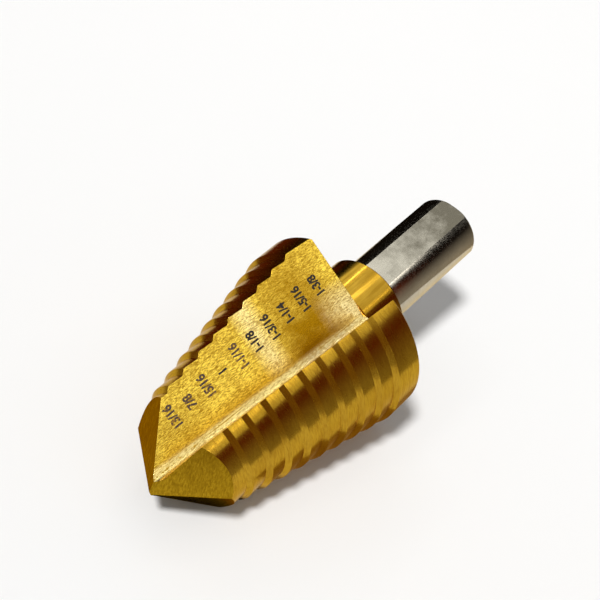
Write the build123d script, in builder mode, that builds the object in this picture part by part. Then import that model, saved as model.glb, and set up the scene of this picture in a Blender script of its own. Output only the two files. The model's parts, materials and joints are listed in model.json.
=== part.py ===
from build123d import *
from math import asin, cos, degrees, radians, sin, sqrt, tan
import os

# Ten-step sheet-metal drill, 13/16 in to 1-3/8 in, ground all over from one bar of high-speed steel.
# It is drawn standing on the end of its shank, tool axis on Z and point up, and then laid on the floor
# in the attitude it comes to rest in.  All lengths are in millimetres and all angles in degrees.

INCH = 25.4

# Steps: each land is one hole size, each shoulder leads to the next
smallest_hole = 13 / 16 * INCH
size_increment = 1 / 16 * INCH
step_count = 10
land_width = 7 / 64 * INCH
shoulder_angle = 45
last_land_width = 5.4
rim_break = 0.3

# Point: four facets, a lip facet and a heel facet on each half, ground a little off the tool axis
point_to_first_shoulder = 10.7
point_offset = 0.8
point_offset_direction = -42
lip_facet_slope = 37.8
lip_facet_direction = 63.4
heel_facet_slope = 43.1
heel_facet_direction = 4.9
heel_facet_clearance = 0.23

# Flutes: straight V grooves whose roots rise from the point towards the collar
flute_count = 2
web_at_point = 1.6
web_at_collar = 15.6
root_shift_at_point = 0.06
root_shift_at_collar = 1.6
flute_opening_angle = 76
root_radius = 1.5

# Collar and three-flat shank
collar_diameter = 16.5
collar_length = 7.94
collar_break = 0.5
shank_diameter = 1 / 2 * INCH
shank_length = 24.3
shank_end_radius = 0.8
flat_count = 3
flat_depth = 0.58
flat_direction = 121

# Radii, and heights counted up from the end of the shank
radius_increment = size_increment / 2
shoulder_width = radius_increment / tan(radians(shoulder_angle))
step_pitch = land_width + shoulder_width
largest_radius = smallest_hole / 2 + (step_count - 1) * radius_increment
body_back = shank_length + collar_length
last_land_top = body_back + last_land_width
first_land_base = last_land_top + shoulder_width + (step_count - 2) * step_pitch
point_height = first_land_base + point_to_first_shoulder


def land_radius(step):
    return smallest_hole / 2 + step * radius_increment


def land_top(step):
    """Height where a land ends and the shoulder up to the next smaller land begins."""
    return last_land_top + (step_count - 1 - step) * step_pitch


# The turned blank.  Above the first land it stays cylindrical until the point is ground.
with BuildPart() as blank:
    with BuildSketch(Plane.XZ):
        with BuildLine():
            outline = [(0, 0), (shank_diameter / 2, 0), (shank_diameter / 2, shank_length)]
            outline += [(collar_diameter / 2, shank_length), (collar_diameter / 2, body_back)]
            outline += [(largest_radius, body_back)]
            for step in range(step_count - 1, 0, -1):
                outline += [(land_radius(step), land_top(step))]
                outline += [(land_radius(step - 1), land_top(step) + shoulder_width)]
            outline += [(land_radius(0), point_height), (0, point_height)]
            Polyline(*outline, close=True)
        make_face()
    revolve(axis=Axis.Z)
    rims = blank.edges().filter_by(GeomType.CIRCLE)
    shank_end = rims.group_by(Axis.Z)[0]
    collar_end = rims.filter_by_position(Axis.Z, shank_length, shank_length).sort_by(SortBy.RADIUS)[-1]
    body_end = rims.filter_by_position(Axis.Z, body_back, body_back).sort_by(SortBy.RADIUS)[-1]
    fillet(shank_end, shank_end_radius)
    chamfer(collar_end, collar_break)
    chamfer(body_end, rim_break)

# One flute.  The marked wall lies along -X of the root and the cutting wall stands over it.
root_at_point = Vector(root_shift_at_point, web_at_point / 2, point_height)
root_at_collar = Vector(root_shift_at_collar, web_at_collar / 2, body_back)
root_run = root_at_collar - root_at_point
wall_reach = 3 * largest_radius
marked_wall = Vector(-wall_reach, 0)
cutting_wall = marked_wall.rotate(Axis.Z, -flute_opening_angle)
with BuildPart() as flute:
    with BuildSketch(Plane.XY.offset(point_height)) as vee:
        with BuildLine():
            root = Vector(root_at_point.X, root_at_point.Y)
            far_corner = root + marked_wall + cutting_wall
            Polyline(root, root + marked_wall, far_corner, root + cutting_wall, close=True)
        make_face()
        fillet(vee.vertices().sort_by_distance(root_at_point)[0], root_radius)
    extrude(amount=root_run.length, dir=root_run)


def sideways(direction):
    """A unit vector across the tool, in this direction about its axis."""
    return Vector(1, 0, 0).rotate(Axis.Z, direction)


def grind_facet(slope, direction, rise):
    """Grinds a flat on the point.  It falls away in this direction, from a rise above the chisel edge."""
    normal = sideways(direction) * sin(radians(slope)) + Vector(0, 0, 1) * cos(radians(slope))
    top = sideways(point_offset_direction) * point_offset + Vector(0, 0, point_height + rise)
    split(bisect_by=Plane(origin=top, z_dir=normal), keep=Keep.BOTTOM)


# The finished tool, still standing on its shank.
with BuildPart() as standing:
    add(blank.part)
    for half_turn in (0, 180):
        grind_facet(lip_facet_slope, lip_facet_direction + half_turn, 0)
        grind_facet(heel_facet_slope, heel_facet_direction + half_turn, heel_facet_clearance)
    with PolarLocations(0, flute_count):
        add(flute.part, mode=Mode.SUBTRACT)
    with PolarLocations(shank_diameter / 2 - flat_depth, flat_count, start_angle=flat_direction):
        Box(
            shank_diameter,
            shank_diameter,
            shank_length,
            align=(Align.MIN, Align.CENTER, Align.MIN),
            mode=Mode.SUBTRACT,
        )


# Lying down, the tool bridges its lower flute.  It stands on the cutting edge of one half of the body,
# at the first land and the last, and on the heel of the last land of the other half.
def root_at(height):
    return root_at_point + root_run * ((point_height - height) / (point_height - body_back))


def cutting_corner(radius, height):
    """Where the cutting wall meets a land of this radius at this height."""
    up_wall = cutting_wall.normalized()
    foot = root_at(height)
    along = foot.X * up_wall.X + foot.Y * up_wall.Y
    return foot + up_wall * (sqrt(along**2 + radius**2 - foot.X**2 - foot.Y**2) - along)


def heel_corner(radius, height):
    """Where the marked wall meets a land of this radius at this height."""
    foot = root_at(height)
    return Vector(-sqrt(radius**2 - foot.Y**2), foot.Y, height)


def corner_below(place):
    """The corner of the lower half of the tool that is a half turn away from a place on the upper half."""
    return Vector(standing.vertices().sort_by_distance(place.rotate(Axis.Z, 180))[0])


nose_contact = corner_below(cutting_corner(land_radius(0), first_land_base + land_width))
edge_contact = corner_below(cutting_corner(largest_radius, last_land_top))
heel_contact = corner_below(heel_corner(largest_radius, last_land_top))
upward = (heel_contact - nose_contact).cross(edge_contact - nose_contact)
floor = Plane(origin=nose_contact, x_dir=(0, 0, -1), z_dir=upward)
lying = floor.to_local_coords(standing.part)

# The finished part: on the floor at z = 0, shank towards +X, centred over the origin.
extent = lying.bounding_box()
with BuildPart(Plane((-extent.center().X, -extent.center().Y, -extent.min.Z))) as step_drill:
    add(lying)

print("overall length", round(point_height, 2), "largest diameter", round(2 * largest_radius, 2))
print("nose down", round(degrees(asin(-floor.z_dir.Z)), 2), "volume", round(step_drill.part.volume))
os.makedirs("parts", exist_ok=True)
step_drill.part.label = "step_drill"
export_step(step_drill.part, "parts/step_drill.step")
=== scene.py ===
# %% [markdown]
# # Dressing a step drill
#
# This lesson dresses one tool: a step drill for sheet metal, gold-coated, with a bare steel shank.
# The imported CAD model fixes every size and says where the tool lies.  Blender only adds the looks:
# what each operation of the grinding shop left on the steel, the size marks, and the studio.

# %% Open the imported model
import json
import math

import bpy
from mathutils import Matrix, Vector


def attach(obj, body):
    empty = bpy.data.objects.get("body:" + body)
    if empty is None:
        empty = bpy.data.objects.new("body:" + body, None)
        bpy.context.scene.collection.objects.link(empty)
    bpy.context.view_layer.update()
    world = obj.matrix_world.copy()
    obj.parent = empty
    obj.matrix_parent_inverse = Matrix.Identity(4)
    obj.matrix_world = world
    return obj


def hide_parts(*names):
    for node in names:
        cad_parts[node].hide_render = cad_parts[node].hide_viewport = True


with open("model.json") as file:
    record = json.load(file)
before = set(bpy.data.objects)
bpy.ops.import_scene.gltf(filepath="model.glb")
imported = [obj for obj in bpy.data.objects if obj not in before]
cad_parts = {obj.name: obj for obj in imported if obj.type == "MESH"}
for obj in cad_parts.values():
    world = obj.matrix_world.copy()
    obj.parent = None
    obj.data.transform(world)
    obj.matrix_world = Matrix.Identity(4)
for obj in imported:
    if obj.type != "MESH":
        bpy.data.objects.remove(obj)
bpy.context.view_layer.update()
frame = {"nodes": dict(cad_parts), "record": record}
MM = 0.001
print("nodes:", sorted(frame["nodes"]))

# %% [markdown]
# ## The tool's own axes
#
# The tool lies on the floor with its nose down, but a grinder thinks along its axis.  Every line that a
# wheel leaves runs either round that axis or along it, so the finishes need the tool's own axes.  They
# could be typed in as angles.  It is safer to read them from the record: the shank's mount gives the
# end of the tool and its axis, and the top flat gives the turn about that axis.

# %% Work out where the tool stands
FLAT_DIRECTION = math.radians(121)    # the top flat, counted about the axis from the tool's X
FLAT_COUNT = 3
mounts = {mount["name"]: mount for mount in frame["record"]["mounts"]}
shank_end = Vector(mounts["shank"]["pos_m"])
tool_z = -Vector(mounts["shank"]["axis"]).normalized()
flat_out = Vector(mounts["drive_flat_top"]["axis"])
flat_out = (flat_out - flat_out.dot(tool_z) * tool_z).normalized()
tool_x = flat_out.copy()
tool_x.rotate(Matrix.Rotation(-FLAT_DIRECTION, 3, tool_z))
tool_y = tool_z.cross(tool_x)

tool_axes = Matrix((tool_x, tool_y, tool_z)).transposed()
from_tool = Matrix.Translation(shank_end) @ tool_axes.to_4x4() @ Matrix.Scale(MM, 4)
to_tool = from_tool.inverted()
print("nose down by", round(math.degrees(math.asin(-tool_z.z)), 2), "degrees")

# %% [markdown]
# ## One tool, several operations
#
# The real drill is one piece of steel, but each of its surfaces was made by its own operation: the lands
# and the collar were ground round, the flutes were ground along, the point was ground in flat facets, and
# the shank's flats were milled.  A copy of the CAD mesh keeps the exact form, and each of its
# faces is given the finish of its operation.  Masks in one big material could do the same, but they are
# harder to read and to change.

# %% Copy the mesh and find each face's operation
SHANK_LENGTH = 24.3              # heights above the end of the shank, in millimetres
COLLAR_TOP = 32.24
POINT_BASE = 68.0
SLACK = 0.01                     # a face this close to a boundary counts as lying on it
WALL_MATCH = 0.9999              # cosine to a wall's normal, from which a face lies on that wall
FLAT_MATCH = 0.9998              # the same for a flat of the shank
SIDEWAYS = 0.3                   # a wall's normal rises along the axis by less than this
UPWARDS = 0.6                    # and the normal of a facet of the point by more than this
OFF_ROUND = 0.07                 # a round face looks straight out from the axis, to within this
ZONES = ["marked_wall", "cutting_wall", "ground_round", "ground_collar", "ground_point"]
ZONES += ["shank_round", "shank_flat"]

cad = frame["nodes"]["step_drill"]
drill = bpy.data.objects.new("ground_drill", cad.data.copy())
bpy.context.scene.collection.objects.link(drill)


def wall_normals():
    """The marked walls are the two largest flat areas of the flutes: their normals, in tool axes."""
    areas = {}
    for face in drill.data.polygons:
        facing = tool_axes.inverted() @ face.normal
        centre = to_tool @ face.center
        if COLLAR_TOP < centre.z and abs(facing.z) < SIDEWAYS:
            key = tuple(round(value, 2) for value in facing)
            total, normal = areas.get(key, (0.0, facing))
            areas[key] = (total + face.area, normal)
    largest = sorted(areas.values(), key=lambda entry: -entry[0])[:2]
    return [normal for total, normal in largest]


marked_normals = wall_normals()
flat_turns = [FLAT_DIRECTION + k * math.tau / FLAT_COUNT for k in range(FLAT_COUNT)]
flat_normals = [Vector((math.cos(turn), math.sin(turn), 0)) for turn in flat_turns]


def zone_of(face):
    """The operation that made this face, from where it lies and which way it faces."""
    facing = tool_axes.inverted() @ face.normal
    centre = to_tool @ face.center
    radial = Vector((centre.x, centre.y, 0)).normalized()
    across = abs(radial.cross(facing).z)
    if centre.z < SHANK_LENGTH - SLACK:
        is_flat = any(facing.dot(normal) > FLAT_MATCH for normal in flat_normals)
        return "shank_flat" if is_flat else "shank_round"
    if any(facing.dot(normal) > WALL_MATCH for normal in marked_normals):
        return "marked_wall"
    if centre.z > POINT_BASE and facing.z > UPWARDS:
        return "ground_point"
    if centre.z < COLLAR_TOP - SLACK:
        return "ground_collar"
    if centre.z < COLLAR_TOP + SLACK or across < OFF_ROUND:
        return "ground_round"
    return "cutting_wall"


face_zones = [zone_of(face) for face in drill.data.polygons]
print("faces in each zone:", {zone: face_zones.count(zone) for zone in ZONES})
print("marked walls face", [[round(value, 4) for value in normal] for normal in marked_normals])

# %% [markdown]
# ## Helpers for node materials
#
# A finish is a small network of nodes.  Written out link by link, it would be long and hard to follow.  A
# few helpers keep it readable: they make a node in a single call, do one step of arithmetic, stretch a
# value and mix two colours.

# %% Make nodes in one call
def node(tree, kind, inputs=None, **settings):
    """One shader node.  An input that is another node's output is linked, and any other is a value."""
    made = tree.nodes.new("ShaderNode" + kind)
    for name, value in settings.items():
        setattr(made, name, value)
    for name, value in (inputs or {}).items():
        if isinstance(value, bpy.types.NodeSocket):
            tree.links.new(value, made.inputs[name])
        else:
            made.inputs[name].default_value = value
    return made


def calculate(tree, operation, first, second=0.0, third=0.0):
    """One step of arithmetic."""
    return node(tree, "Math", {0: first, 1: second, 2: third}, operation=operation).outputs[0]


def between(tree, value, low, high, to_low=0.0, to_high=1.0):
    """Stretches the part of a value between low and high over a new range, and clamps the rest."""
    inputs = {"Value": value, "From Min": low, "From Max": high, "To Min": to_low, "To Max": to_high}
    return node(tree, "MapRange", inputs).outputs["Result"]


def mix_colours(tree, factor, first, second):
    """The first colour at factor 0 and the second at factor 1."""
    mixed = node(tree, "Mix", data_type="RGBA")
    for socket, value in ((mixed.inputs[0], factor), (mixed.inputs[6], first), (mixed.inputs[7], second)):
        if isinstance(value, bpy.types.NodeSocket):
            tree.links.new(value, socket)
        else:
            socket.default_value = value
    return mixed.outputs[2]


print("helpers:", [helper.__name__ for helper in (node, calculate, between, mix_colours)])

# %% [markdown]
# ## A place on the tool
#
# Wear and grinding lines belong to places on the tool.  An unwrapped map could point at them, but it
# would stretch and would need seams.  The mesh's own coordinates, turned into the tool's axes, give the
# height, the radius and the angle of every surface point, in millimetres.

# %% Find a place on the tool
def tool_place(tree):
    """The surface point in tool millimetres, and its radius and angle about the axis.  half_x is the same
    on both halves of the tool: it counts from the axis towards the marked wall as a negative number."""
    place = node(tree, "TexCoord").outputs["Object"]
    turn = to_tool.to_3x3().normalized().to_euler()
    scale = (1 / MM, 1 / MM, 1 / MM)
    inputs = {"Vector": place, "Location": to_tool.translation, "Rotation": turn, "Scale": scale}
    place = node(tree, "Mapping", inputs).outputs[0]
    parts = node(tree, "SeparateXYZ", {0: place})
    x, y, z = parts.outputs
    square = calculate(tree, "ADD", calculate(tree, "MULTIPLY", x, x), calculate(tree, "MULTIPLY", y, y))
    radius = calculate(tree, "SQRT", square)
    angle = calculate(tree, "ARCTAN2", y, x)
    half_x = calculate(tree, "MULTIPLY", x, calculate(tree, "SIGN", y))
    return {"point": place, "x": x, "y": y, "z": z, "half_x": half_x, "radius": radius, "angle": angle}


def grain_noise(tree, vector, scales, detail=3.0, roughness=0.6):
    """Noise that is stretched by a different number of ripples per millimetre along each axis."""
    stretched = node(tree, "Mapping", {"Vector": vector, "Scale": scales}, vector_type="POINT").outputs[0]
    inputs = {"Vector": stretched, "Scale": 1.0, "Detail": detail, "Roughness": roughness}
    return node(tree, "TexNoise", inputs).outputs["Fac"]


print("tool millimetres in a metre:", round(to_tool.to_scale().x))

# %% [markdown]
# ## Grinding lines
#
# A wheel leaves scratches that all run one way: round the lands, along the flutes, at a slant over the
# point.  Two things follow from that way, and each function below gives both.  The noise is stretched
# along the scratches, and the reflections smear across them.  A picture of scratches could do the first
# but not the second, and would need unwrapping.

# %% Describe the direction of the lines
ROLLED_RADIUS = 12.0             # millimetres, about a middle land: it turns an angle into a length


def lines_along(tree, place):
    """Lines that run along the tool.  Gives the noise space, whose first axis is the run, and the
    direction across the lines, which is the way that a ground surface smears its reflections."""
    run = node(tree, "CombineXYZ", {0: place["z"], 1: place["x"], 2: place["y"]}).outputs[0]
    facing = node(tree, "NewGeometry").outputs["Normal"]
    across = node(tree, "VectorMath", {0: facing, 1: tool_z}, operation="CROSS_PRODUCT").outputs[0]
    return run, across


def lines_round(tree, place):
    """Lines that run round the tool, so that the smear is along it."""
    round_it = calculate(tree, "MULTIPLY", place["angle"], ROLLED_RADIUS)
    run = node(tree, "CombineXYZ", {0: round_it, 1: place["z"], 2: place["radius"]}).outputs[0]
    across = node(tree, "CombineXYZ", {0: tool_z.x, 1: tool_z.y, 2: tool_z.z}).outputs[0]
    return run, across


def lines_over_the_point(tree, place):
    """Lines that run across a facet of the point, at a slant to the axis."""
    slant = math.radians(35)
    run = node(tree, "Mapping", {"Vector": place["point"], "Rotation": (0.0, slant, slant)}).outputs[0]
    across = node(tree, "CombineXYZ", {0: tool_x.x, 1: tool_x.y, 2: tool_x.z}).outputs[0]
    return run, across


def lines_of_chatter(tree, place):
    """Faint ridges along the collar, left as it turned unevenly under the wheel.  The smear is along it."""
    return lines_along(tree, place)[0], lines_round(tree, place)[1]


print("lines along the tool run towards", [round(value, 3) for value in tool_z])

# %% [markdown]
# ## The gold nitride and the bare steel
#
# The coating is a film of nitride, a few thousandths of a millimetre thick.  It could be a clear coat
# over steel, but the film is itself a metal, so it goes in the base colour of a metallic surface: red
# and green are bright, and blue is almost gone.  The lands, the collar and the point get darker, redder
# copies of the wall's gold: painted shade.  Each surface has two colours, one for the crests of its
# streaks and one for their shade.

# %% Mix the colours
GOLD = (0.97, 0.69, 0.085, 1)
GOLD_SHADE = (0.32, 0.16, 0.003, 1)
# The lands, the collar and the point are darker copies of the wall's gold: painted shade.
LANDS_GOLD_SHADED = (0.50, 0.295, 0.024, 1)
LANDS_GOLD_SHADED_STREAKS = (0.28, 0.125, 0.006, 1)
COLLAR_GOLD = (0.64, 0.39, 0.042, 1)
COLLAR_SHADE = (0.32, 0.16, 0.006, 1)
# the colour of the painted highlights on the wall
HIGHLIGHT_GOLD = (0.97, 0.86, 0.50, 1)
POINT_GOLD_SHADED = (0.42, 0.25, 0.012, 1)
POINT_SHADE = (0.22, 0.115, 0.004, 1)
STEEL = (0.58, 0.53, 0.43, 1)
STEEL_SHADE = (0.33, 0.30, 0.24, 1)
FLAT_STEEL = (0.62, 0.585, 0.48, 1)
FLAT_SHADE = (0.17, 0.155, 0.115, 1)
golds = {"wall": GOLD, "lands": LANDS_GOLD_SHADED, "collar": COLLAR_GOLD, "point": POINT_GOLD_SHADED}
print("red to blue of each gold:", {name: round(gold[0] / gold[2]) for name, gold in golds.items()})

# %% [markdown]
# ## One recipe for every ground metal
#
# The scratches are far too fine to model, but together they make streaks of light and dark, roughen the
# surface in lines and catch the light.  So the recipe uses the same streaks three times: a little
# in the colour, a little in the roughness and very slightly in the height.  A separate material for
# each surface would repeat all of it, so one function makes them all from a few numbers.

# %% Make a ground metal
FINE_SHARE = 0.78                # of the streaks, and a coarser set over them makes up the rest
COARSE_SCALE = 0.3               # ripples of the coarse set for each ripple of the fine one
STREAK_RANGE = (0.41, 0.57)      # of the noise, from the shade of a streak to its crest
ROUGHNESS_RANGE = (0.35, 0.65)
CLOUD_RIPPLES = 0.16             # for each millimetre
CLOUD_RANGE = (0.42, 0.66)
SPECK_RIPPLES = 1.9
SPECK_RANGE = (0.70, 0.73)       # only the highest peaks of the noise make a speck
SPECK_COLOUR = (0.03, 0.012, 0.004, 1)
EDGE_ROUNDING = 0.07             # millimetres


def ground_metal(name, lines, colour, shade, roughness, grain=(0.8, 4.5, 4.5), spread=0.6,
                 streak=0.9, relief=0.003, cloud=0.3, specks=0.0, edge_tint=(0.9, 0.75, 0.5, 1),
                 darkening=None, wear_and_highlight=None):
    """A ground metal.  colour and shade are the light and the dark of its streaks, and grain is its
    ripples for each millimetre.  spread is how far it smears a reflection, relief is the height of the
    streaks in millimetres, and streak, cloud and specks are how much they darken it.  darkening turns a
    place into how much darker the metal is there, painted shade with random patches on two surfaces, and
    wear_and_highlight turns it into how much painted highlight it carries."""
    material = bpy.data.materials.new(name)
    material.use_nodes = True
    tree = material.node_tree
    tree.nodes.clear()
    place = tool_place(tree)
    run, across = lines(tree, place)
    fine = grain_noise(tree, run, grain, detail=4.0)
    fine = calculate(tree, "MULTIPLY", fine, FINE_SHARE)
    coarse = grain_noise(tree, run, [value * COARSE_SCALE for value in grain], detail=2.0)
    coarse = calculate(tree, "MULTIPLY", coarse, 1 - FINE_SHARE)
    streaks = calculate(tree, "ADD", fine, coarse)
    clouds = grain_noise(tree, place["point"], (CLOUD_RIPPLES,) * 3, detail=2.0)
    light = between(tree, streaks, *STREAK_RANGE, 1.0 - streak, 1.0)
    tone = mix_colours(tree, light, shade, colour)
    tone = mix_colours(tree, between(tree, clouds, *CLOUD_RANGE, 0.0, cloud), tone, shade)
    # painted shade: the shade colour mixed in by place
    if darkening:
        tone = mix_colours(tree, darkening(tree, place), tone, shade)
    # painted highlights: the highlight colour mixed in by place
    if wear_and_highlight:
        tone = mix_colours(tree, wear_and_highlight(tree, place, light), tone, HIGHLIGHT_GOLD)
    if specks:
        spots = grain_noise(tree, place["point"], (SPECK_RIPPLES,) * 3, detail=4.0)
        tone = mix_colours(tree, between(tree, spots, *SPECK_RANGE, 0.0, specks), tone, SPECK_COLOUR)
    rough = between(tree, streaks, *ROUGHNESS_RANGE, roughness + 0.08, roughness - 0.05)
    edge = node(tree, "Bevel", {"Radius": EDGE_ROUNDING * MM}, samples=4).outputs[0]
    inputs = {"Strength": 1.0, "Distance": relief * MM, "Height": streaks, "Normal": edge}
    normal = node(tree, "Bump", inputs).outputs[0]
    inputs = {"Base Color": tone, "Metallic": 1.0, "Roughness": rough}
    inputs.update({"Normal": normal, "Tangent": across})
    surface = node(tree, "BsdfPrincipled", inputs)
    surface.inputs["Anisotropic"].default_value = spread
    surface.inputs["Specular Tint"].default_value = edge_tint
    output = node(tree, "OutputMaterial")
    tree.links.new(surface.outputs[0], output.inputs["Surface"])
    print("made", name, "with", len(tree.nodes), "nodes")
    return material


print("streaks:", FINE_SHARE, "fine and", round(1 - FINE_SHARE, 2), "coarse")

# %% [markdown]
# ## Painted shade and painted highlights on the film
#
# The film is darker beside the larger steps and on one side of the collar: painted shade.  A band
# across the wall, the corner by the collar and a line along the root are painted highlights.  The flats
# of the shank go grey in soft patches, and darker towards its end: painted shade.  Painted masks could
# show all that, but these functions say it in the tool's own millimetres, so each place can be moved by
# changing one number.

# %% Say where the tool is worn
# Each pair is where a fade starts and where it is complete: angles about the axis, or millimetres.
# the turn over which one side of the collar darkens: painted shade
COLLAR_PAINTED_SHADE_TURN = (math.radians(112), math.radians(82))
# where the wall darkens: painted shade
WALL_SHADE_TOP = (48.5, 44.5)
WALL_SHADE_FOOT = (32.5, 38.0)
WALL_SHADE_ACROSS = (-14.0, -5.0)
# where the painted highlights lie
HIGHLIGHT_CORNER_ACROSS = (-8.0, -3.5)
HIGHLIGHT_CORNER_TOP = (39.5, 35.0)
# the run over which the flats darken: painted shade
FLAT_PAINTED_SHADE_RUN = (24.0, 2.0)
ROOT_DRIFT = 0.0339              # the root wanders this far sideways for each millimetre along the tool
ROOT_EDGE = 0.774                # where the flat wall ends, once that drift is taken off
ROOT_HIGHLIGHT_WIDTH = 0.5                   # width of the painted highlight beside the root
HIGHLIGHT_BAND_HEIGHT = 49.6               # middle of the painted highlight band
HIGHLIGHT_BAND_REACH = 2.8                 # how far it fades to each side
HIGHLIGHT_BAND_CORE = 0.4                  # and how far it is whole
WALL_SHADE_RIPPLES = 0.22             # for each millimetre
FLAT_PATCH_RIPPLES = 0.34


def collar_film(tree, place):
    """Darkens the collar on one side, by its angle about the axis: painted shade."""
    return between(tree, place["angle"], *COLLAR_PAINTED_SHADE_TURN, 0.0, 0.85)


def brown_middle(tree, place):
    """Darkens the wall beside the larger steps in patches, most of it near the root: painted shade."""
    rise = between(tree, place["z"], *WALL_SHADE_TOP)
    fall = between(tree, place["z"], *WALL_SHADE_FOOT)
    near_root = between(tree, place["half_x"], *WALL_SHADE_ACROSS, 0.55, 1.0)
    patches = grain_noise(tree, place["point"], (WALL_SHADE_RIPPLES,) * 3)
    amount = calculate(tree, "MULTIPLY", calculate(tree, "MULTIPLY", rise, fall), near_root)
    return calculate(tree, "MULTIPLY", amount, between(tree, patches, 0.30, 0.55, 0.60, 1.0))


def chip_rub(tree, place, light):
    """Painted highlights: a band across the wall, the corner by the collar and a line along the root.
    The crests of the streaks take most of it."""
    off_band = calculate(tree, "ABSOLUTE", calculate(tree, "SUBTRACT", place["z"], HIGHLIGHT_BAND_HEIGHT))
    band = between(tree, off_band, HIGHLIGHT_BAND_REACH, HIGHLIGHT_BAND_CORE, 0.0, 0.5)
    corner = between(tree, place["half_x"], *HIGHLIGHT_CORNER_ACROSS)
    corner = calculate(tree, "MULTIPLY", corner, between(tree, place["z"], *HIGHLIGHT_CORNER_TOP, 0.0, 0.6))
    past_root = calculate(tree, "MULTIPLY_ADD", place["z"], ROOT_DRIFT, place["half_x"])
    root = between(tree, past_root, ROOT_EDGE - ROOT_HIGHLIGHT_WIDTH, ROOT_EDGE, 0.0, 0.5)
    highlight_mask = calculate(tree, "MAXIMUM", calculate(tree, "MAXIMUM", band, corner), root)
    return calculate(tree, "MULTIPLY", highlight_mask, between(tree, light, 0.2, 0.9, 0.30, 1.0))


def handled_flat(tree, place):
    """The flats go grey in soft patches, and are brighter near the collar and darker towards the end of the
    shank: painted shade.
    """
    patches = grain_noise(tree, place["point"], (FLAT_PATCH_RIPPLES,) * 3, detail=4.0, roughness=0.65)
    end = between(tree, place["z"], *FLAT_PAINTED_SHADE_RUN, -0.26, 0.34)
    return between(tree, calculate(tree, "ADD", patches, end), 0.30, 0.78, 0.0, 0.95)


# The band is a painted highlight.
print("the rubbed band runs from", HIGHLIGHT_BAND_HEIGHT - HIGHLIGHT_BAND_REACH, "to", HIGHLIGHT_BAND_HEIGHT + HIGHLIGHT_BAND_REACH, "mm")

# %% [markdown]
# ## Six finishes from one recipe
#
# Each zone gets its own numbers: the flute walls are the coarsest, the lands, the collar and the shank
# came off a finer wheel, and the point is darker still.  The lands, the collar and the point carry darker
# copies of the wall's gold: painted shade.  The zones could also share one finish and differ in colour
# alone, but it is the roughness and the smear that tell them apart in the light.  The walls share a
# finish, because one pass of the wheel grinds both.

# %% Make the finishes
wall_finish = ground_metal("gold_ground_along", lines_along, GOLD, GOLD_SHADE, 0.24,
                           grain=(1.3, 6.5, 6.5), spread=0.7, streak=0.86, relief=0.0008,
                           specks=0.8, darkening=brown_middle, wear_and_highlight=chip_rub)
round_finish = ground_metal("gold_ground_round", lines_round, LANDS_GOLD_SHADED, LANDS_GOLD_SHADED_STREAKS, 0.2,
                            spread=0.5, streak=0.45, relief=0.002, specks=0.5)
collar_finish = ground_metal("gold_collar", lines_of_chatter, COLLAR_GOLD, COLLAR_SHADE, 0.17,
                             grain=(0.10, 1.5, 1.5), spread=0.5, streak=0.5, relief=0.014,
                             darkening=collar_film)
# The point's darker gold and its dark edge tint are painted shade.
point_finish = ground_metal("gold_point", lines_over_the_point, POINT_GOLD_SHADED, POINT_SHADE, 0.3,
                            spread=0.2, streak=0.6, cloud=0.15, specks=0.8,
                            edge_tint=(0.30, 0.19, 0.05, 1))
shank_finish = ground_metal("steel_ground_round", lines_round, STEEL, STEEL_SHADE, 0.16,
                            streak=0.2, relief=0.001)
flat_finish = ground_metal("steel_milled_flat", lines_along, FLAT_STEEL, FLAT_SHADE, 0.25,
                           spread=0.3, streak=0.15, cloud=0.2, relief=0.002,
                           darkening=handled_flat)

# %% [markdown]
# ## Dress the tool
#
# The copy takes the finishes in the order of its zones, and each face points at the one of its own
# operation.  Then the copy replaces the plain CAD body.  It rides on the same body, so it moves with it.

# %% Put the finishes on the faces
finishes = {"marked_wall": wall_finish, "cutting_wall": wall_finish, "ground_round": round_finish,
            "ground_collar": collar_finish, "ground_point": point_finish,
            "shank_round": shank_finish, "shank_flat": flat_finish}
drill.data.materials.clear()
for zone in ZONES:
    drill.data.materials.append(finishes[zone])
for face, zone in zip(drill.data.polygons, face_zones):
    face.material_index = ZONES.index(zone)
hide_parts("step_drill")
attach(drill, "root")
print("finishes on the tool:", [material.name for material in drill.data.materials])

# %% [markdown]
# ## The size marks
#
# Each land drills one hole size, and a laser writes that size on the flute wall beside it.  The marks
# are plain fractions of an inch.  They could be typed in one by one, but each is a sixteenth more than
# the one before it, so they are counted and written in their lowest terms.

# %% Work out the sizes
SMALLEST_SIZE = 13               # sixteenths of an inch
STEP_COUNT = 10


def size_text(sixteenths):
    """A size in inches as it is written on a drill, such as 1-3/8."""
    whole, part = divmod(sixteenths, 16)
    shared = math.gcd(part, 16)
    fraction = f"{part // shared}/{16 // shared}" if part else ""
    return "-".join(text for text in (str(whole) if whole else "", fraction) if text)


print("sizes:", [size_text(SMALLEST_SIZE + step) for step in range(STEP_COUNT)])

# %% [markdown]
# ## Laser oxide
#
# A laser mark is a thin film of dark oxide.  Some of the marks are greyer, because chips slide over them
# and rub them along the flute.  A paler colour alone would look badly printed, so the gold shows through
# in the same kind of lines as the grinding.

# %% Make the oxide
WORN_SIZES = (13, 14, 15, 17)    # sixteenths of an inch


def laser_oxide(name, dark, wear):
    """The dark film of a laser mark.  Wear lets the gold show through along the grinding lines."""
    material = bpy.data.materials.new(name)
    material.use_nodes = True
    tree = material.node_tree
    tree.nodes.clear()
    place = tool_place(tree)
    wear_and_highlight = grain_noise(tree, lines_along(tree, place)[0], (1.2, 5.0, 5.0))
    tone = mix_colours(tree, between(tree, wear_and_highlight, 0.62 - wear, 0.72 - wear / 2), dark, GOLD_SHADE)
    surface = node(tree, "BsdfPrincipled", {"Base Color": tone})
    surface.inputs["Metallic"].default_value = 0.4
    surface.inputs["Roughness"].default_value = 0.5
    output = node(tree, "OutputMaterial")
    tree.links.new(surface.outputs[0], output.inputs["Surface"])
    return material


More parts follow.
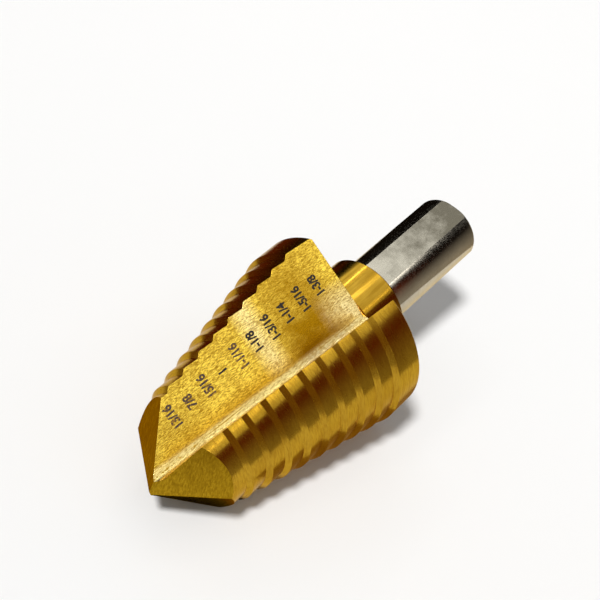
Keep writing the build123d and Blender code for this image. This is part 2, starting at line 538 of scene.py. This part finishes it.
fresh_mark = laser_oxide("laser_oxide_fresh", (0.012, 0.008, 0.006, 1), 0.0)
worn_mark = laser_oxide("laser_oxide_worn", (0.045, 0.03, 0.028, 1), 0.14)
print("worn marks:", [size_text(size) for size in WORN_SIZES])

# %% [markdown]
# ## Write on the wall
#
# A mask in the wall's material could carry the figures, but their edges would only be as crisp as its
# pixels.  So each mark is a text object turned into a mesh, a few thousandths of a millimetre thick, and
# laid on the wall beside its land.  The wall's own faces say where the wall lies.

# %% Write the sizes
STEP_PITCH = 9 / 64 * 25.4       # all of these are in millimetres, apart from the three shares
FIRST_MARK_HEIGHT = 68.4         # of its middle, above the end of the shank
MARK_HEIGHT = 1.55               # of its figures
CAPITAL_SHARE = 0.70             # of the font's size is the height of a figure
FIGURE_WIDTH = 0.86              # the figures are narrowed to this share
FIGURE_SPACING = 0.93            # and stand a little closer together
MARK_INSET = 6.6                 # from the axis to the middle of the first mark
MARK_INSET_GROWTH = 0.25         # and how much further out each next mark stands
MARK_THICKNESS = 0.004
MARK_LIFT = 0.75 * MARK_THICKNESS
MARK_BOLDNESS = 0.08
upper_wall = max(marked_normals, key=lambda normal: (tool_axes @ normal).z)
wall_faces = [face for face in drill.data.polygons
              if (tool_axes.inverted() @ face.normal).dot(upper_wall) > WALL_MATCH]
wall_points = [to_tool @ face.center for face in wall_faces]
wall_points = [point for point in wall_points if point.z > COLLAR_TOP]
wall_offset = sum(point.dot(upper_wall) for point in wall_points) / len(wall_points)
reading = Vector((-1, 0, 0))
glyph_up = upper_wall.cross(reading).normalized()


def write_mark(step):
    """The mark of one step, as a thin mesh lying on the upper wall."""
    text = size_text(SMALLEST_SIZE + step)
    curve = bpy.data.curves.new("size_text", "FONT")
    curve.body = text
    curve.align_x = "CENTER"
    curve.align_y = "CENTER"
    curve.size = MARK_HEIGHT / CAPITAL_SHARE
    curve.space_character = FIGURE_SPACING
    curve.extrude = MARK_THICKNESS / 2
    curve.offset = MARK_BOLDNESS
    curve.resolution_u = 4
    writer = bpy.data.objects.new("writer", curve)
    bpy.context.scene.collection.objects.link(writer)
    bpy.context.view_layer.update()
    mesh = bpy.data.meshes.new_from_object(writer)
    bpy.data.objects.remove(writer)
    across = -MARK_INSET - step * MARK_INSET_GROWTH
    height = FIRST_MARK_HEIGHT - step * STEP_PITCH
    depth = (wall_offset - height * upper_wall.z - across * upper_wall.x) / upper_wall.y
    centre = Vector((across, depth, height)) + upper_wall * MARK_LIFT
    axes = Matrix((reading * FIGURE_WIDTH, glyph_up, upper_wall)).transposed().to_4x4()
    mesh.transform(from_tool @ Matrix.Translation(centre) @ axes)
    mark = bpy.data.objects.new("size_mark_" + text.replace("/", "_"), mesh)
    bpy.context.scene.collection.objects.link(mark)
    mesh.materials.clear()
    mesh.materials.append(worn_mark if SMALLEST_SIZE + step in WORN_SIZES else fresh_mark)
    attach(mark, "root")
    return mark


marks = [write_mark(step) for step in range(STEP_COUNT)]
print("marks:", [mark.name for mark in marks])

# %% [markdown]
# ## The floor
#
# The tool lies on a plain white table.  A table of its own size would show its edge at a low camera, so
# it runs far past the tool on every side.  It is nearly white and hardly shiny: it keeps the shadow and
# shows no reflection of the tool.

# %% Lay the floor
FLOOR_HALF = 12.0                # metres
WHITE = (0.93, 0.925, 0.915, 1)


def plain_material(name, colour, roughness=0.9):
    """A matt material of one colour."""
    material = bpy.data.materials.new(name)
    material.use_nodes = True
    surface = material.node_tree.nodes["Principled BSDF"]
    surface.inputs["Base Color"].default_value = colour
    surface.inputs["Roughness"].default_value = roughness
    surface.inputs["Specular IOR Level"].default_value = 0.1
    return material


floor_mesh = bpy.data.meshes.new("floor")
corners = [(-FLOOR_HALF, -FLOOR_HALF, 0), (FLOOR_HALF, -FLOOR_HALF, 0)]
corners += [(FLOOR_HALF, FLOOR_HALF, 0), (-FLOOR_HALF, FLOOR_HALF, 0)]
floor_mesh.from_pydata(corners, [], [(0, 1, 2, 3)])
floor = bpy.data.objects.new("floor", floor_mesh)
bpy.context.scene.collection.objects.link(floor)
floor_mesh.materials.append(plain_material("white_table", WHITE))
print("floor:", 2 * FLOOR_HALF, "metres square")

# %% [markdown]
# ## Flags
#
# A polished tool shows the room more than it shows itself.  On a white table it would turn white all
# over, so a studio stands dark cards, called flags, just beyond the light: each cylinder then
# carries a dark band with a crisp edge, and the eye reads the form.  The flags here are seen only in
# reflections.  They cast no shadow, and the camera passes through them.  A glow of their own
# colour keeps them the same in any light, where a painted card would darken in the tool's shadow.

# %% Stand the flags round the tool
MAROON = (0.14, 0.028, 0.010, 1)
BLACK = (0.006, 0.005, 0.004, 1)
BROWN = (0.25, 0.145, 0.045, 1)
SHADED_FLOOR_TAN = (0.34, 0.22, 0.08, 1)
GREY = (0.36, 0.32, 0.26, 1)
FLAG_FACES = 24                  # round each curved flag
CARD_RISE = 0.2                  # millimetres above the floor


def card(name, points, faces, top, bottom=None, fade=(0.0, 1.0)):
    """A card that only reflections see.  It is printed from its bottom colour to its top colour,
    between the two heights of fade, or in its top colour alone."""
    mesh = bpy.data.meshes.new(name)
    mesh.from_pydata(points, [], faces)
    material = bpy.data.materials.new(name)
    material.use_nodes = True
    tree = material.node_tree
    tree.nodes.clear()
    rise = node(tree, "SeparateXYZ", {0: node(tree, "TexCoord").outputs["Object"]}).outputs["Z"]
    colour = mix_colours(tree, between(tree, rise, *fade), bottom or top, top)
    glow = node(tree, "Emission", {"Color": colour, "Strength": 1.0})
    output = node(tree, "OutputMaterial")
    tree.links.new(glow.outputs[0], output.inputs["Surface"])
    mesh.materials.append(material)
    made = bpy.data.objects.new(name, mesh)
    bpy.context.scene.collection.objects.link(made)
    made.visible_camera = False
    made.visible_diffuse = False
    made.visible_transmission = False
    made.visible_shadow = False
    return made


def flag(name, from_azimuth, to_azimuth, distance, height, top, bottom, fade):
    """A curved card that stands round the tool, between two compass directions in degrees."""
    points = []
    for k in range(FLAG_FACES + 1):
        azimuth = math.radians(from_azimuth + (to_azimuth - from_azimuth) * k / FLAG_FACES)
        for rise in (0, height):
            points.append((distance * math.cos(azimuth), distance * math.sin(azimuth), rise))
    faces = [(2 * k, 2 * k + 2, 2 * k + 3, 2 * k + 1) for k in range(FLAG_FACES)]
    return card(name, points, faces, top, bottom, fade)


def flat_card(name, x_from, x_to, y_from, y_to, colour):
    """A card that lies on the floor, between these sides in millimetres."""
    corners = [(x_from, y_from), (x_to, y_from), (x_to, y_to), (x_from, y_to)]
    points = [(x * MM, y * MM, CARD_RISE * MM) for x, y in corners]
    return card(name, points, [(0, 1, 2, 3)], colour)


flags = [
    flag("flag_lands", -125, -45, 0.070, 0.072, MAROON, GREY, (0.010, 0.050)),
    flag("flag_shank", -45, -5, 0.070, 0.072, BLACK, GREY, (0.010, 0.042)),
    flag("flag_left", 48, 125, 0.060, 0.050, BLACK, MAROON, (0.010, 0.035)),
    flag("flag_left_shank", -5, 48, 0.060, 0.050, BLACK, BLACK, (0.010, 0.035)),
    flag("flag_front", 125, 235, 0.060, 0.040, BROWN, GREY, (0.0, 0.015)),
    # These two cards lie where the floor is in the tool's shade, and the tool reflects them as darker
    # floor: painted shade.
    flat_card("painted_shade_under_the_point", -40, -18, -9, 8, BLACK),
    flat_card("painted_shade_under_the_lands", -18, 22, -22, 0, SHADED_FLOOR_TAN),
]
print("flags:", [made.name for made in flags])

# %% [markdown]
# ## Lamps
#
# One far lamp, a sun a few degrees wide, lights the table evenly and throws the soft shadow.  A near
# lamp could throw the same shadow, but the table would turn grey away from it.  The three small
# lamps light nothing much: they are there to be seen, as thin bright lines on the shank and the collar.

# %% Hang the lamps
def direction(azimuth, elevation):
    """A unit vector towards a compass direction and a height, both in degrees."""
    turn, rise = math.radians(azimuth), math.radians(elevation)
    return Vector((math.cos(rise) * math.cos(turn), math.cos(rise) * math.sin(turn), math.sin(rise)))


def lamp(name, azimuth, elevation, distance, length, width, power):
    """A lit strip that looks at the tool.  Its length runs as near to the world's X as it can."""
    light = bpy.data.lights.new(name, "AREA")
    light.energy = power
    light.shape = "RECTANGLE"
    light.size = length
    light.size_y = width
    lit = bpy.data.objects.new(name, light)
    bpy.context.scene.collection.objects.link(lit)
    towards = direction(azimuth, elevation)
    side = Vector((1, 0, 0))
    side = (side - side.dot(towards) * towards).normalized()
    axes = Matrix((side, towards.cross(side), towards)).transposed().to_4x4()
    lit.matrix_world = Matrix.Translation(towards * distance) @ axes
    lit.visible_camera = False
    return lit


def sun(name, azimuth, elevation, width, strength):
    """A far lamp, width degrees wide, that is as strong at the edge of the floor as at the tool."""
    light = bpy.data.lights.new(name, "SUN")
    light.energy = strength
    light.angle = math.radians(width)
    lit = bpy.data.objects.new(name, light)
    bpy.context.scene.collection.objects.link(lit)
    lit.rotation_euler = (0, math.radians(90 - elevation), math.radians(azimuth))
    return lit


lamps = [
    sun("key_lamp", -174, 64, width=9.0, strength=2.54),
    lamp("strip_lamp", -60, 50, distance=0.3, length=0.5, width=0.010, power=0.05),
    lamp("top_lamp", 0, 69, distance=0.35, length=0.06, width=0.06, power=0.02),
    lamp("left_strip_lamp", 50, 50, distance=0.3, length=0.3, width=0.012, power=0.05),
]
print("lamps:", [lit.name for lit in lamps])

# %% [markdown]
# ## The white room
#
# The room is white where a reflection or the camera sees it, and dimmer as a light, so that it fills the
# shadows without washing them out.  White walls round the table could not be both, but a world can: it
# is told what kind of ray has reached it.

# %% Paint the room
FILL = 0.24                      # brightness of the white room as a light, where 1 is white

room = bpy.data.worlds.new("studio")
bpy.context.scene.world = room
room.use_nodes = True
tree = room.node_tree
tree.nodes.clear()
rays = node(tree, "LightPath")
seen = calculate(tree, "MAXIMUM", rays.outputs["Is Camera Ray"], rays.outputs["Is Glossy Ray"])
seen = calculate(tree, "MAXIMUM", seen, rays.outputs["Is Transmission Ray"])
strength = between(tree, seen, 0.0, 1.0, FILL, 1.0)
background = node(tree, "Background", {"Color": (1, 1, 1, 1), "Strength": strength})
output = node(tree, "OutputWorld")
tree.links.new(background.outputs[0], output.inputs["Surface"])
print("the room lights the tool at", FILL, "of white")

# %% [markdown]
# ## The camera
#
# The camera looks down on the tool from the side of its point, so that the marked wall, the steps and
# the shank all show.  A matrix of numbers could place it, but it is easier to change when it is said as
# what it looks at, from which direction, how high, how far away and how far the frame is rolled.  The
# long lens keeps the steps almost parallel.

# %% Place the camera
LOOK_AT = Vector((1.3, 5.9, 19.6)) * MM
CAMERA_AZIMUTH = -150.75         # degrees
CAMERA_ELEVATION = 42.15
DISTANCE = 196.0 * MM
ROLL = math.radians(-15.39)
FOCAL_LENGTH = 69.43             # millimetres, on a sensor 36 mm wide

back = direction(CAMERA_AZIMUTH, CAMERA_ELEVATION)
level = Vector((0, 0, 1)).cross(back).normalized()
upright = back.cross(level)
camera_up = upright * math.cos(ROLL) + level * math.sin(ROLL)
camera_right = camera_up.cross(back)
camera_axes = Matrix((camera_right, camera_up, back)).transposed().to_4x4()

camera_data = bpy.data.cameras.new("camera")
camera_data.lens = FOCAL_LENGTH
camera_data.sensor_width = 36.0
camera_data.clip_start = 0.005
camera = bpy.data.objects.new("camera", camera_data)
bpy.context.scene.collection.objects.link(camera)
camera.matrix_world = Matrix.Translation(LOOK_AT + back * DISTANCE) @ camera_axes
bpy.context.scene.camera = camera
bpy.context.scene.view_settings.view_transform = "Standard"
print("camera at", [round(value / MM, 1) for value in camera.matrix_world.translation], "mm")
